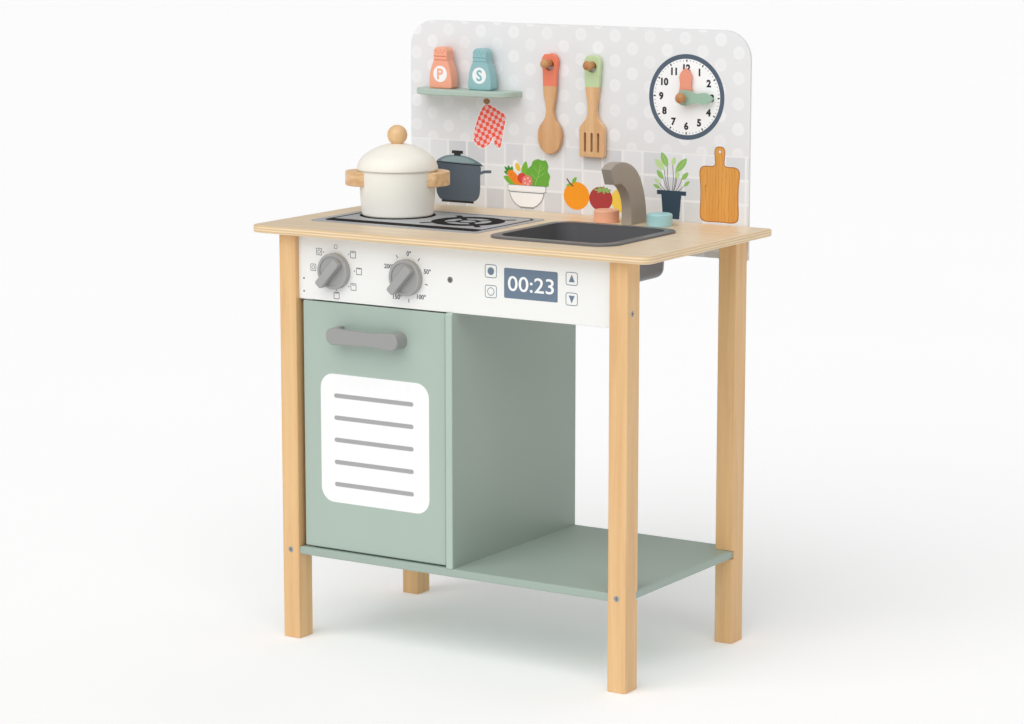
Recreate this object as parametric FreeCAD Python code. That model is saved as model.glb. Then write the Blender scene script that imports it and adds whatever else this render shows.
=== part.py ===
import FreeCAD, Part
import math
import os
from FreeCAD import Vector

# Wooden toy kitchen. Millimetres, +Z up, the front faces -Y.
# The origin is on the floor, under the middle of the overall box.

# ---- driving dimensions -------------------------------------------------------------
LEG_SPAN_X = 560.0        # outside to outside of the legs
LEG_SPAN_Y = 331.0
LEG_W, LEG_D = 28.0, 32.0
LEG_H = 577.5             # floor to the underside of the countertop
COUNTER_T = 11.0
COUNTER_SIDE = 39.0       # overhang past the legs, left and right
COUNTER_FRONT = 17.0      # overhang past the front legs
BOARD_T = 11.5            # shelf, divider, side and door
BACK_T = 4.0              # backboard
BACK_LOW, BACK_TOP = 541.0, 857.5
BACK_HALF = 281.0
SHELF_LOW = 122.5
SHELF_INSET = 2.5         # shelf edge behind the outer leg faces
PANEL_T = 10.5            # control panel
PANEL_LOW = 487.3
PANEL_SET_BACK = 7.5      # panel and door behind the front leg faces
DOOR_LEFT, DOOR_RIGHT = -245.5, -8.0
DOOR_LOW, DOOR_TOP = 135.8, 485.3
HINGE_X = -238.0
SINK_X, SINK_Y = (34.0, 232.0), (-126.0, 77.5)
SINK_RIM, SINK_RIM_T, SINK_WALL = 13.0, 3.0, 2.0
SINK_DEPTH = 61.5         # countertop surface to the outside of the basin's floor
HOB_X, HOB_Y, HOB_T = (-275.0, 5.0), (-97.0, 91.0), 0.8
POT_AT, POT_TURN = (-202.0, 20.0), 29.0
DIALS_X, DIAL_Z = (-189.0, -69.5), 530.0
DIAL_R, DIAL_DEPTH = 25.0, 19.5
FAUCET_X, FAUCET_W = 128.5, 16.0
TAPS_X, TAP_Y, TAP_R, TAP_H = (86.5, 171.5), 116.0, 18.0, 17.0
WALL_SHELF_X, WALL_SHELF_Z = (-258.0, -88.0), (751.5, 760.5)
WALL_SHELF_DEPTH = 40.0
SHAKERS_X, SHAKER_T, SHAKER_H = (-213.0, -145.5), 18.0, 60.0
SPOON_X, SPATULA_X, PEG_Z = -37.0, 33.5, 802.5
UTENSIL_T = 7.0
CLOCK_X, CLOCK_Z = 182.4, 763.0
REST_GAP = 0.2            # under pieces that only stand on a surface
FIT = 0.05                # radial clearance of a running fit

# ---- places worked out from them ----------------------------------------------------
DEPTH = COUNTER_FRONT + LEG_SPAN_Y + BACK_T
COUNTER_Y0 = -DEPTH / 2
FRONT = COUNTER_Y0 + COUNTER_FRONT          # front faces of the front legs
BACK = FRONT + LEG_SPAN_Y                   # back faces of the back legs
LEG_X = LEG_SPAN_X / 2
LEG_IN = LEG_X - LEG_W                      # inner faces of the legs
LEG_MID_X = LEG_X - LEG_W / 2
COUNTER_TOP = LEG_H + COUNTER_T
SHELF_TOP = SHELF_LOW + BOARD_T
PANEL_Y0 = FRONT + PANEL_SET_BACK
PANEL_Y1 = PANEL_Y0 + PANEL_T
DOOR_Y1 = PANEL_Y0 + BOARD_T
HINGE_Y = PANEL_Y0 + BOARD_T / 2
NOTCH = 5.0                                 # depth of the shelf's notch in a leg
DIVIDER_HALF = BOARD_T / 2
STEEL_HEAD_H = 2.4


# ---- helpers ------------------------------------------------------------------------
def block(x, y, z):
    """Box between two values on each axis."""
    size = [max(pair) - min(pair) for pair in (x, y, z)]
    return Part.makeBox(*size, Vector(min(x), min(y), min(z)))


def rod(radius, start, direction, length):
    return Part.makeCylinder(radius, length, Vector(*start), Vector(*direction))


def along(edge, axis):
    """True for a straight edge that runs along the axis, 0 to 2."""
    if len(edge.Vertexes) != 2:
        return False
    run = edge.Vertexes[1].Point - edge.Vertexes[0].Point
    off_axis = [abs(run[k]) for k in range(3) if k != axis]
    return max(off_axis) < 1e-6


def rounded(shape, radius, keep=lambda edge: True):
    return shape.makeFillet(radius, [e for e in shape.Edges if keep(e)])


def rounded_plate(x, y, z, corner, axis=2):
    """Box whose four edges along one axis are rounded."""
    return rounded(block(x, y, z), corner, lambda e: along(e, axis))


def at_end(axis, *values):
    """Edge test: the whole edge lies at one of these values on the axis."""
    names = ("X", "Y", "Z")
    low, high = names[axis] + "Min", names[axis] + "Max"

    def test(edge):
        box = edge.BoundBox
        return any(abs(getattr(box, low) - v) < 1e-3 and abs(getattr(box, high) - v) < 1e-3
                   for v in values)
    return test


def chain(place, start, moves):
    """Edges from a start point. A move is an end point, or (point on arc, end point)."""
    edges, here = [], place(*start)
    for move in moves:
        through = isinstance(move[0], tuple)
        end = place(*(move[1] if through else move))
        if (end - here).Length < 1e-6:
            continue
        curve = Part.Arc(here, place(*move[0]), end) if through else Part.LineSegment(here, end)
        edges.append(curve.toShape())
        here = end
    return edges


def outline(place, start, *moves):
    """Face inside a closed outline made of moves."""
    return Part.Face(Part.Wire(chain(place, start, moves + (start,))))


def lathe(x, y, z, start, *moves):
    """Solid turned about a vertical axis through (x, y, z)."""
    face = outline(lambda r, h: Vector(x + r, y, z + h), start, *moves)
    return face.revolve(Vector(x, y, z), Vector(0, 0, 1), 360)


def dome(radius, low, flat, top):
    """Moves over a dome centred on the axis: its arc, then its small flat top."""
    centre = (low ** 2 + radius ** 2 - top ** 2 - flat ** 2) / (2 * (low - top))
    ball, mid = math.hypot(radius, low - centre), (radius + flat) / 2
    return ((mid, centre + math.sqrt(ball ** 2 - mid ** 2)), (flat, top)), (0, top)


def front_plate(x, z, y0, thickness, start, *moves):
    """Flat piece cut from a board that stands parallel to the backboard."""
    face = outline(lambda a, b: Vector(x + a, y0, z + b), start, *moves)
    return face.extrude(Vector(0, thickness, 0))


def turned_to(shape, at, direction):
    """Shape made along +Z from the origin, put at a point and aimed."""
    moved = shape.copy()
    moved.Placement = FreeCAD.Placement(Vector(*at), FreeCAD.Rotation(Vector(0, 0, 1), Vector(*direction)))
    return moved


def wood_screw(length, radius=1.9, head=4.3):
    """Countersunk cross-head screw along +Z, its head's face at z = 0."""
    cone = Part.makeCone(head, radius, STEEL_HEAD_H)
    shank = Part.makeCylinder(radius, length - 4, Vector(0, 0, 0))
    tip = Part.makeCone(radius, 0.4, 4, Vector(0, 0, length - 4))
    body = cone.fuse([shank, tip]).removeSplitter()
    arm = head * 0.62
    slots = [block((-arm, arm), (-0.5, 0.5), (-1, 1.3)), block((-0.5, 0.5), (-arm, arm), (-1, 1.3))]
    return body.cut(slots)


def screw_room(length, radius=1.9, head=4.3):
    """The hole that a wood screw needs."""
    cone = Part.makeCone(head + FIT, radius + FIT, STEEL_HEAD_H)
    return cone.fuse(Part.makeCylinder(radius + FIT, length)).removeSplitter()


def brad(length, radius=1.3):
    return Part.makeCylinder(radius, length)


def brad_room(length, radius=1.3):
    return Part.makeCylinder(radius + 0.02, length)


def fastener_places():
    """Node name, pieces and room for each group of identical fasteners."""
    shelf_mid = SHELF_LOW + BOARD_T / 2
    mid_front, mid_back = FRONT + LEG_D / 2, BACK - LEG_D / 2
    into_leg = [(x, z) for x in (-LEG_MID_X, LEG_MID_X) for z in (551.0, 567.0)]
    into_counter = [(x, LEG_H + COUNTER_T / 2) for x in (-200.0, -70.0, 60.0, 220.0)]
    wood, small = (wood_screw, screw_room), (brad, brad_room)
    return {
        "leg_shelf_screws": wood + (52.0, {}, [
            ((x, y, shelf_mid), (0, way, 0))
            for x in (-LEG_MID_X, LEG_MID_X) for y, way in ((FRONT, 1), (BACK, -1))]),
        "panel_end_screws": wood + (48.0, {}, [
            ((side * LEG_X, PANEL_Y0 + PANEL_T / 2, 508.0), (-side, 0, 0)) for side in (-1, 1)]),
        "divider_front_screw": wood + (36.0, {}, [((0, PANEL_Y0, 532.0), (0, 1, 0))]),
        "panel_brads": small + (26.0, {}, [
            ((-243.0, PANEL_Y0, z), (0, 1, 0)) for z in (498.0, 516.0)]),
        "counter_brads": small + (34.0, {}, [
            ((x, y, COUNTER_TOP), (0, 0, -1))
            for x in (7 - LEG_MID_X, LEG_MID_X - 7) for y in (mid_front, mid_back)]),
        "backboard_screws": wood + (24.0, {"head": 3.6}, [
            ((x, BACK + BACK_T, z), (0, -1, 0)) for x, z in into_leg + into_counter]),
        "wall_shelf_screws": wood + (26.0, {"head": 3.6}, [
            ((x, BACK + BACK_T, sum(WALL_SHELF_Z) / 2), (0, -1, 0)) for x in (-225.0, -121.0)]),
        "underside_screws": wood + (36.0, {}, [
            ((x, y, SHELF_LOW), (0, 0, 1))
            for x, y in ((-271.2, -80.0), (-271.2, 90.0), (0, -110.0), (0, 10.0), (0, 130.0))]),
        "handle_screws": wood + (22.0, {}, [
            ((x, DOOR_Y1, HANDLE_Z), (0, -1, 0)) for x in handle_posts()]),
        "hinge_screws": wood + (12.0, {"radius": 1.0, "head": 1.9}, [
            ((x, HINGE_Y, z), (0, 0, way))
            for x in (-246.5, -232.5) for z, way in ((PANEL_LOW - 1.2, 1), (SHELF_TOP + 1.0, -1))]),
        "faucet_screws": wood + (30.0, {}, [
            ((FAUCET_X, y, LEG_H), (0, 0, 1)) for y in (110.0, 131.0)]),
        "lid_screw": wood + (24.0, {}, [(POT_AT + (POT_Z + 97.8,), (0, 0, 1))]),
        "catch_screws": wood + (14.0, {"radius": 1.2, "head": 2.4}, [
            ((-22.0, -130.0, z), (1, 0, 0)) for z in (444.0, 466.0)]),
    }


def fasteners(name):
    make, _, length, sizes, places = fastener_places()[name]
    return Part.makeCompound([turned_to(make(length, **sizes), at, way) for at, way in places])


def drilled(shape, *names):
    """The shape with the holes of these fastener groups."""
    rooms = []
    for name in names:
        _, room, length, sizes, places = fastener_places()[name]
        rooms += [turned_to(room(length, **sizes), at, way) for at, way in places]
    return shape.cut(rooms)


# ---- frame and boards ---------------------------------------------------------------
def leg(left, front):
    """Square-cut leg with a notch that takes the shelf's side strip."""
    x = (-LEG_X, -LEG_IN) if left else (LEG_IN, LEG_X)
    y = (FRONT, FRONT + LEG_D) if front else (BACK - LEG_D, BACK)
    post = rounded(block(x, y, (0, LEG_H)), 1.8)
    inner_y = y[1] - NOTCH if front else y[0] + NOTCH
    notch = block((x[0] - 1, x[1] + 1), (inner_y, inner_y + (20 if front else -20)),
                  (SHELF_LOW - 0.4, SHELF_TOP + 0.4))
    groups = ["leg_shelf_screws", "counter_brads"]
    groups.append("panel_end_screws" if front else "backboard_screws")
    return drilled(post.cut(notch), *groups)


def bottom_shelf():
    """One board, its corners cut out round the legs."""
    half_x = LEG_X - SHELF_INSET
    y = (FRONT + SHELF_INSET, BACK - SHELF_INSET)
    board = block((-half_x, half_x), y, (SHELF_LOW, SHELF_TOP))
    cuts = []
    for side in (-1, 1):
        x = (side * LEG_IN, side * (half_x + 5))
        strip = (FRONT + LEG_D - NOTCH, BACK - LEG_D + NOTCH)
        cuts.append(block(x, (y[0] - 5, strip[0]), (SHELF_LOW - 1, SHELF_TOP + 1)))
        cuts.append(block(x, (strip[1], y[1] + 5), (SHELF_LOW - 1, SHELF_TOP + 1)))
    board = board.cut(cuts)
    board = rounded(board, 2.5, at_end(2, SHELF_LOW, SHELF_TOP))
    return drilled(board, "leg_shelf_screws", "underside_screws", "hinge_screws")


def countertop():
    """Top board with a cut-out for the sink."""
    x_end = LEG_X + COUNTER_SIDE
    board = block((-x_end, x_end), (COUNTER_Y0, BACK), (LEG_H, COUNTER_TOP))
    front = at_end(1, COUNTER_Y0)
    board = rounded(board, 16.0, lambda e: along(e, 2) and front(e))
    board = rounded(board, 5.0, lambda e: along(e, 2) and at_end(1, BACK)(e))
    board = rounded(board, 3.2, lambda e: at_end(2, LEG_H, COUNTER_TOP)(e) and not at_end(1, BACK)(e))
    margin = SINK_RIM - SINK_WALL - 1.0
    hole = rounded_plate((SINK_X[0] + margin, SINK_X[1] - margin),
                         (SINK_Y[0] + margin, SINK_Y[1] - margin),
                         (LEG_H - 5, COUNTER_TOP + 5), 27.0)
    axles = [rod(TAP_AXLE_R + FIT, (x, TAP_Y, LEG_H - 5), (0, 0, 1), 30) for x in TAPS_X]
    return drilled(board.cut([hole] + axles), "counter_brads", "backboard_screws", "faucet_screws")


def control_panel():
    """White front board between the legs, with the dials' shaft holes."""
    board = rounded(block((-LEG_IN, LEG_IN), (PANEL_Y0, PANEL_Y1), (PANEL_LOW, LEG_H)), 1.0)
    shafts = [rod(DIAL_SHAFT_R + FIT, (x, PANEL_Y0 - 5, DIAL_Z), (0, 1, 0), 30) for x in DIALS_X]
    return drilled(board.cut(shafts), "panel_end_screws", "divider_front_screw", "panel_brads",
                   "hinge_screws")


def backboard():
    """Thin printed back with round top corners."""
    board = block((-BACK_HALF, BACK_HALF), (BACK, BACK + BACK_T), (BACK_LOW, BACK_TOP))
    board = rounded(board, 40.0, lambda e: along(e, 1) and at_end(2, BACK_TOP)(e))
    pegs = [rod(PEG_TENON_R + 0.02, (x, BACK - 5, z), (0, 1, 0), 20) for x, z in peg_places()]
    return drilled(board.cut(pegs), "backboard_screws", "wall_shelf_screws")


def divider_panel():
    """Full-depth board right of the oven, notched at the top for the control panel."""
    y = (FRONT + SHELF_INSET, BACK - SHELF_INSET)
    board = block((-DIVIDER_HALF, DIVIDER_HALF), y, (SHELF_TOP, LEG_H))
    board = board.cut(block((-20, 20), (y[0] - 5, PANEL_Y1), (PANEL_LOW, LEG_H + 5)))
    front_corner = lambda e: along(e, 0) and at_end(1, y[0])(e) and at_end(2, PANEL_LOW)(e)
    board = rounded(board, 3.5, front_corner)
    board = rounded(board, 2.2, lambda e: along(e, 2) and at_end(1, y[0], y[1])(e))
    return drilled(board, "divider_front_screw", "underside_screws", "catch_screws")


def oven_side():
    """Board that closes the oven between the two left legs."""
    outer = -LEG_X + 3.0
    board = block((outer, outer + BOARD_T), (FRONT + LEG_D, BACK - LEG_D), (SHELF_TOP, LEG_H))
    return drilled(rounded(board, 1.0, lambda e: along(e, 2)), "underside_screws")


def oven_back():
    y1 = BACK - SHELF_INSET - 6.0
    return block((-LEG_IN, -DIVIDER_HALF), (y1 - BACK_T, y1), (SHELF_TOP, LEG_H))


def corner_block():
    """Wooden block behind the left end of the control panel."""
    block_y = (PANEL_Y1, PANEL_Y1 + 18.0)
    board = block((-LEG_IN, -LEG_IN + 18.0), block_y, (PANEL_LOW + 3, LEG_H))
    return drilled(rounded(board, 1.0), "panel_brads")


# ---- oven door ----------------------------------------------------------------------
PIVOT_R, PIVOT_REACH = 2.0, 10.0
HANDLE_MID, HANDLE_HALF, HANDLE_Z = -130.3, 59.7, 442.5
HANDLE_REACH, HANDLE_BAR = 24.5, 7.0


def handle_posts():
    inset = 8.0
    return (HANDLE_MID - HANDLE_HALF + inset, HANDLE_MID + HANDLE_HALF - inset)


def oven_door():
    board = block((DOOR_LEFT, DOOR_RIGHT), (PANEL_Y0, DOOR_Y1), (DOOR_LOW, DOOR_TOP))
    board = rounded(board, 2.0)
    bores = [rod(PIVOT_R + FIT, (HINGE_X, HINGE_Y, z), (0, 0, way), PIVOT_REACH)
             for z, way in ((DOOR_LOW, 1), (DOOR_TOP, -1))]
    return drilled(board.cut(bores), "handle_screws")


def door_handle():
    """Bow handle: a bar on two posts, its long edges slightly hollow."""
    h, waist, end_r, tall = HANDLE_HALF, 9.9, 11.0, 11.9
    cut = end_r * (1 - math.sqrt(0.5))
    x1, z1 = h - end_r, tall - end_r
    face = outline(lambda a, b: Vector(HANDLE_MID + a, PANEL_Y0, HANDLE_Z + b),
                   (-x1, tall), ((0, waist), (x1, tall)), ((h - cut, tall - cut), (h, z1)),
                   (h, -z1), ((h - cut, cut - tall), (x1, -tall)), ((0, -waist), (-x1, -tall)),
                   ((cut - h, cut - tall), (-h, -z1)), (-h, z1), ((cut - h, tall - cut), (-x1, tall)))
    bow = face.extrude(Vector(0, -HANDLE_REACH, 0))
    bow = rounded(bow, 2.4, at_end(1, PANEL_Y0 - HANDLE_REACH))
    gap = rounded_plate((HANDLE_MID - h + 15, HANDLE_MID + h - 15),
                        (PANEL_Y0 - HANDLE_REACH + HANDLE_BAR, PANEL_Y0 + 20),
                        (HANDLE_Z - 30, HANDLE_Z + 30), 6.0)
    return drilled(bow.cut(gap), "handle_screws")


def pivot_hinge(top):
    """Steel plate with the pin that the door turns on."""
    z0, thick = (PANEL_LOW - 1.2, 1.2) if top else (SHELF_TOP, 1.0)
    plate = rounded_plate((-251.0, -229.5), (HINGE_Y - 4.8, HINGE_Y + 4.8), (z0, z0 + thick), 2.0)
    if top:
        reach = z0 + thick - (DOOR_TOP - PIVOT_REACH + 0.5)
        pin = rod(PIVOT_R, (HINGE_X, HINGE_Y, z0 + thick), (0, 0, -1), reach)
    else:
        pin = rod(PIVOT_R, (HINGE_X, HINGE_Y, z0), (0, 0, 1), DOOR_LOW + PIVOT_REACH - 0.5 - z0)
    return drilled(plate.fuse(pin).removeSplitter(), "hinge_screws")


def strike_plate():
    return rounded_plate((-24.0, -10.0), (DOOR_Y1, DOOR_Y1 + 0.6), (444.0, 466.0), 2.0, axis=1)


def magnet_catch():
    """Magnet in a plastic case on the divider, just behind the closed door."""
    case = block((-22.0, -DIVIDER_HALF), (DOOR_Y1 + 1.0, -122.0), (438.0, 472.0))
    return drilled(rounded(case, 1.2, lambda e: along(e, 2)), "catch_screws")


# ---- dials --------------------------------------------------------------------------
DIAL_SHAFT_R, DIAL_POINTS_TO = 5.0, math.radians(228.0)


def dial(x):
    """Round knob with a raised grip bar that reaches past its rim on one side."""
    disc_depth, bar_w, bar_short, bar_long = 9.0, 12.5, 20.0, 27.0
    face_y = PANEL_Y0 - 0.3
    disc = rod(DIAL_R, (x, face_y, DIAL_Z), (0, -1, 0), disc_depth)
    disc = rounded(disc, 1.6, at_end(1, face_y - disc_depth))
    disc = disc.cut(rod(DIAL_R - 4.5, (x, face_y - disc_depth, DIAL_Z), (0, 1, 0), 1.2))
    bar = rounded_plate((-bar_short, bar_long), (-DIAL_DEPTH + 0.3, -3.0), (-bar_w / 2, bar_w / 2),
                        3.2, axis=1)
    bar = rounded(bar, 1.3, at_end(1, -DIAL_DEPTH + 0.3))
    bar.rotate(Vector(0, 0, 0), Vector(0, -1, 0), math.degrees(DIAL_POINTS_TO))
    bar.translate(Vector(x, face_y, DIAL_Z))
    shaft = rod(DIAL_SHAFT_R, (x, face_y - 2, DIAL_Z), (0, 1, 0), PANEL_Y1 + 0.4 - face_y + 2)
    bolt_hole = rod(2.02, (x, PANEL_Y1 + 1, DIAL_Z), (0, -1, 0), 16)
    return disc.fuse([bar, shaft]).removeSplitter().cut(bolt_hole)


def dial_bolt(x):
    """Washer-head screw that holds a dial's shaft from behind the panel."""
    y0 = PANEL_Y1 + 0.4
    head = rounded(rod(8.5, (x, y0, DIAL_Z), (0, 1, 0), 2.5), 0.6, at_end(1, y0 + 2.5))
    shank = rod(2.0, (x, y0 + 1, DIAL_Z), (0, -1, 0), 14)
    slot = block((x - 4, x + 4), (y0 + 1.3, y0 + 5), (DIAL_Z - 0.6, DIAL_Z + 0.6))
    return head.fuse(shank).removeSplitter().cut(slot)


# ---- sink, taps and hob -------------------------------------------------------------
TAP_AXLE_R = 4.0


def sink_basin():
    """Moulded tray: rim on the countertop, walls that lean in, rounded floor."""
    def tray(grow, floor_z, top_z, corner, floor_round):
        inset = SINK_RIM + grow
        x = (SINK_X[0] + inset, SINK_X[1] - inset)
        y = (SINK_Y[0] + inset, SINK_Y[1] - inset)
        lean = 3.0
        wires = []
        for z, shift in ((top_z, 0.0), (floor_z, lean)):
            plate = rounded_plate((x[0] + shift, x[1] - shift), (y[0] + shift, y[1] - shift),
                                  (z, z + 1), corner - shift / 2)
            bottom = [f for f in plate.Faces if abs(f.CenterOfMass.z - z) < 1e-6][0]
            wires.append(bottom.OuterWire)
        return rounded(Part.makeLoft(wires, True), floor_round, at_end(2, floor_z))
    floor = COUNTER_TOP - SINK_DEPTH
    outer = tray(-SINK_WALL, floor, COUNTER_TOP, 27.0, 13.0)
    inner = tray(0.0, floor + SINK_WALL, COUNTER_TOP, 25.0, 11.0)
    mouth = rounded_plate((SINK_X[0] + SINK_RIM, SINK_X[1] - SINK_RIM),
                          (SINK_Y[0] + SINK_RIM, SINK_Y[1] - SINK_RIM),
                          (COUNTER_TOP - 0.5, COUNTER_TOP + 9), 25.0)
    rim = rounded_plate(SINK_X, SINK_Y, (COUNTER_TOP, COUNTER_TOP + SINK_RIM_T), 32.0)
    rim = rounded(rim, 1.6, at_end(2, COUNTER_TOP + SINK_RIM_T))
    return outer.fuse(rim).cut([inner, mouth]).removeSplitter()


def spline_outline(place, spline, *moves):
    """Face inside a smooth curve closed by moves, or one that closes on itself."""
    curve = Part.BSplineCurve()
    curve.interpolate(Points=[place(*p) for p in spline], PeriodicFlag=not moves)
    return Part.Face(Part.Wire([curve.toShape()] + chain(place, spline[-1], moves)))


def faucet():
    """Flat-sided spout: rounded back, slanted mouth and a hollow hook under it."""
    x0, z0 = FAUCET_X - FAUCET_W / 2, COUNTER_TOP
    back = [(142.5, 0), (140.2, 22), (131.5, 50), (116.5, 72.5), (95.0, 85.5), (72.0, 90.0), (52.0, 87.8)]
    face = spline_outline(lambda y, h: Vector(x0, y, z0 + h), back, (42, 82), (51.5, 60.5), (69, 60),
                          ((89.5, 46.0), (98.5, 18)), (98.5, 0), back[0])
    body = face.extrude(Vector(FAUCET_W, 0, 0))
    side = at_end(0, x0, x0 + FAUCET_W)
    body = rounded(body, 1.2, lambda e: side(e) and not at_end(2, z0)(e))
    return drilled(body, "faucet_screws")


def tap(x):
    z0 = COUNTER_TOP + 0.3
    knob = rounded(rod(TAP_R, (x, TAP_Y, z0), (0, 0, 1), TAP_H), 2.6, at_end(2, z0 + TAP_H))
    return knob.cut(rod(TAP_AXLE_R, (x, TAP_Y, z0 - 1), (0, 0, 1), 12))


def tap_axle(x):
    """Pin glued into a tap, headed under the countertop."""
    head_z = LEG_H - 0.4
    pin = rod(TAP_AXLE_R, (x, TAP_Y, head_z - 1), (0, 0, 1), COUNTER_TOP + 11.3 - head_z + 1)
    head = rounded(rod(9.0, (x, TAP_Y, head_z), (0, 0, -1), 3.0), 0.8, at_end(2, head_z - 3.0))
    return pin.fuse(head).removeSplitter()


def hob_plate():
    return rounded_plate(HOB_X, HOB_Y, (COUNTER_TOP, COUNTER_TOP + HOB_T), 12.0)


# ---- pot ----------------------------------------------------------------------------
POT_Z = COUNTER_TOP + HOB_T + REST_GAP


def pot_outer(height=65.0):
    return lathe(*POT_AT, POT_Z, (0, 0), (48.0, 0), ((50.2, 1.0), (51.1, 3.2)),
                 ((53.6, 34.0), (54.6, height)), (0, height))


def pot_body():
    hollow = lathe(*POT_AT, POT_Z, (0, 5), (43.0, 5), ((45.3, 6.0), (46.3, 8.4)),
                   ((48.7, 36.0), (49.6, 66.0)), (0, 66))
    body = pot_outer().cut(hollow)
    return rounded(body, 1.2, at_end(2, POT_Z + 65.0))


def pot_lid():
    """Domed lid with a lip that drops inside the pot."""
    low, rim, dome_z, lip, inside = 65.3, 43.5, 88.4, 48.5, 45.0
    outer = lathe(*POT_AT, POT_Z, (0, low - 4), (lip, low - 4), (lip, low), (57.0, low),
                  ((57.6, low + 0.8), (57.7, low + 2.4)), ((53.4, 79.2), (rim, dome_z)),
                  *dome(rim, dome_z, 9.0, 102.0))
    inner = lathe(*POT_AT, POT_Z, (0, low - 5), (inside, low - 5), (inside, low + 8),
                  ((43.4, 80.2), (39.0, 86.4)), *dome(39.0, 86.4, 9.0, 97.8))
    return drilled(outer.cut(inner), "lid_screw")


def lid_knob():
    """Turned ball with a flat underside that sits on the lid."""
    radius, centre = 14.3, 114.0
    ball = Part.makeSphere(radius, Vector(*POT_AT, POT_Z + centre))
    ball = ball.cut(block((-300, 0), (-100, 100), (POT_Z + 60, POT_Z + centre - 10.9)))
    neck = rod(8.6, POT_AT + (POT_Z + 99,), (0, 0, 1), 8)
    return drilled(ball.fuse(neck).removeSplitter().cut(pot_lid()), "lid_screw")


def pot_handle(turn):
    """Curved wooden ear that is shaped to the pot's wall."""
    inner, shoulder, outer, half, low, high = 40.0, 56.0, 74.7, 31.0, 43.0, 63.0
    x, y = POT_AT
    plan = outline(lambda a, b: Vector(x + a, y + b, POT_Z + low), (inner, -half), (shoulder, -half),
                   ((outer, 0), (shoulder, half)), (inner, half))
    ear = plan.extrude(Vector(0, 0, high - low))
    ear.rotate(Vector(x, y, 0), Vector(0, 0, 1), turn)
    ear = rounded(ear, 1.5, at_end(2, POT_Z + low, POT_Z + high))
    return ear.cut(pot_outer())


# ---- things on the backboard --------------------------------------------------------
PEG_TENON_R, PEG_STEM_R, PEG_BALL_R, PEG_BALL_Y = 3.0, 5.0, 6.75, 151.0
CLOCK_STEM_R, CLOCK_BALL_R, CLOCK_BALL_Y = 3.5, 7.5, 152.5
HANG_GAP = 0.3


def peg_places():
    return ((SPOON_X, PEG_Z), (SPATULA_X, PEG_Z), (CLOCK_X, CLOCK_Z))


def peg(x, z, stem_r, ball_r, ball_y):
    """Ball-ended dowel with a thinner tenon glued into the backboard."""
    ball = Part.makeSphere(ball_r, Vector(x, ball_y, z))
    stem = rod(stem_r, (x, ball_y, z), (0, 1, 0), BACK - ball_y)
    tenon = rod(PEG_TENON_R, (x, BACK - 1, z), (0, 1, 0), BACK_T + 1)
    return ball.fuse([stem, tenon]).removeSplitter()


def wall_shelf():
    y0 = BACK - WALL_SHELF_DEPTH
    board = block(WALL_SHELF_X, (y0, BACK), WALL_SHELF_Z)
    board = rounded(board, 30.0, lambda e: along(e, 2) and at_end(1, y0)(e))
    board = rounded(board, 2.2, lambda e: at_end(2, *WALL_SHELF_Z)(e) and not at_end(1, BACK)(e))
    return drilled(board, "wall_shelf_screws")


def shaker(x):
    """Flat shaker block: wide foot, leaning shoulders, round-topped cap."""
    foot, shoulder, cap, neck_z = 19.5, 12.8, 11.6, 38.0
    top = SHAKER_H
    y0 = BACK - WALL_SHELF_DEPTH + 15.0
    body = front_plate(x, WALL_SHELF_Z[1] + REST_GAP, y0, SHAKER_T,
                       (-foot + 3, 0), (foot - 3, 0), ((foot - 0.9, 0.9), (foot, 3)), (foot, 9),
                       ((17.2, 26.0), (shoulder, neck_z)), (cap, neck_z + 2), (cap, top - 8),
                       ((cap - 2.3, top - 2.3), (cap - 8, top)), (-cap + 8, top),
                       ((-cap + 2.3, top - 2.3), (-cap, top - 8)), (-cap, neck_z + 2),
                       (-shoulder, neck_z), ((-17.2, 26.0), (-foot, 9)), (-foot, 3),
                       ((-foot + 0.9, 0.9), (-foot + 3, 0)))
    return rounded(body, 1.6, at_end(1, y0, y0 + SHAKER_T))


def utensil_hole(x):
    radius = 8.0
    z = PEG_Z + PEG_STEM_R - radius + HANG_GAP
    return rod(radius, (x, 100, z), (0, 1, 0), 100)


def utensil(x, spline, *moves):
    """Flat piece hung in front of the backboard: a smooth outline, then straight moves."""
    y0 = BACK - 2.0 - UTENSIL_T
    face = spline_outline(lambda a, b: Vector(x + a, y0, PEG_Z + b), spline, *moves)
    body = face.extrude(Vector(0, UTENSIL_T, 0))
    return rounded(body, 1.3, at_end(1, y0, y0 + UTENSIL_T)).cut(utensil_hole(x))


def spoon():
    """Flat wooden spoon with a hanging hole."""
    half = [(8.2, 12.7), (12.4, 7.5), (12.2, -8), (10.9, -34), (7.6, -57), (6.3, -72), (9.6, -81),
            (17.0, -91), (19.7, -103), (17.2, -117), (10.0, -126.4)]
    return utensil(SPOON_X, [(0, 13.5)] + half + [(0, -129.7)] + [(-a, b) for a, b in half[::-1]])


def spatula():
    """Flat wooden turner with three slots and a hanging hole."""
    half = [(20.8, -96), (18.6, -86), (11.4, -78), (7.7, -69), (8.4, -52), (11.3, -30), (13.3, -4),
            (12.9, 7), (8.4, 12.7)]
    corner, low = 3.5, -130.5
    side, lean = half[0][0], 3.5 * (1 - math.sqrt(0.5))
    moves = [(-side, low + corner), ((-side + lean, low + lean), (-side + corner, low)),
             (side - corner, low), ((side - lean, low + lean), (side, low + corner)), half[0]]
    body = utensil(SPATULA_X, half + [(0, 13.5)] + [(-a, b) for a, b in half[::-1]], *moves)
    slots = [rounded_plate((SPATULA_X + a - 1.9, SPATULA_X + a + 1.9), (BACK - 20, BACK),
                           (PEG_Z - 123.5, PEG_Z - 95.5), 1.85, axis=1) for a in (-10.8, 0, 10.8)]
    return body.cut(slots)


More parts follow.
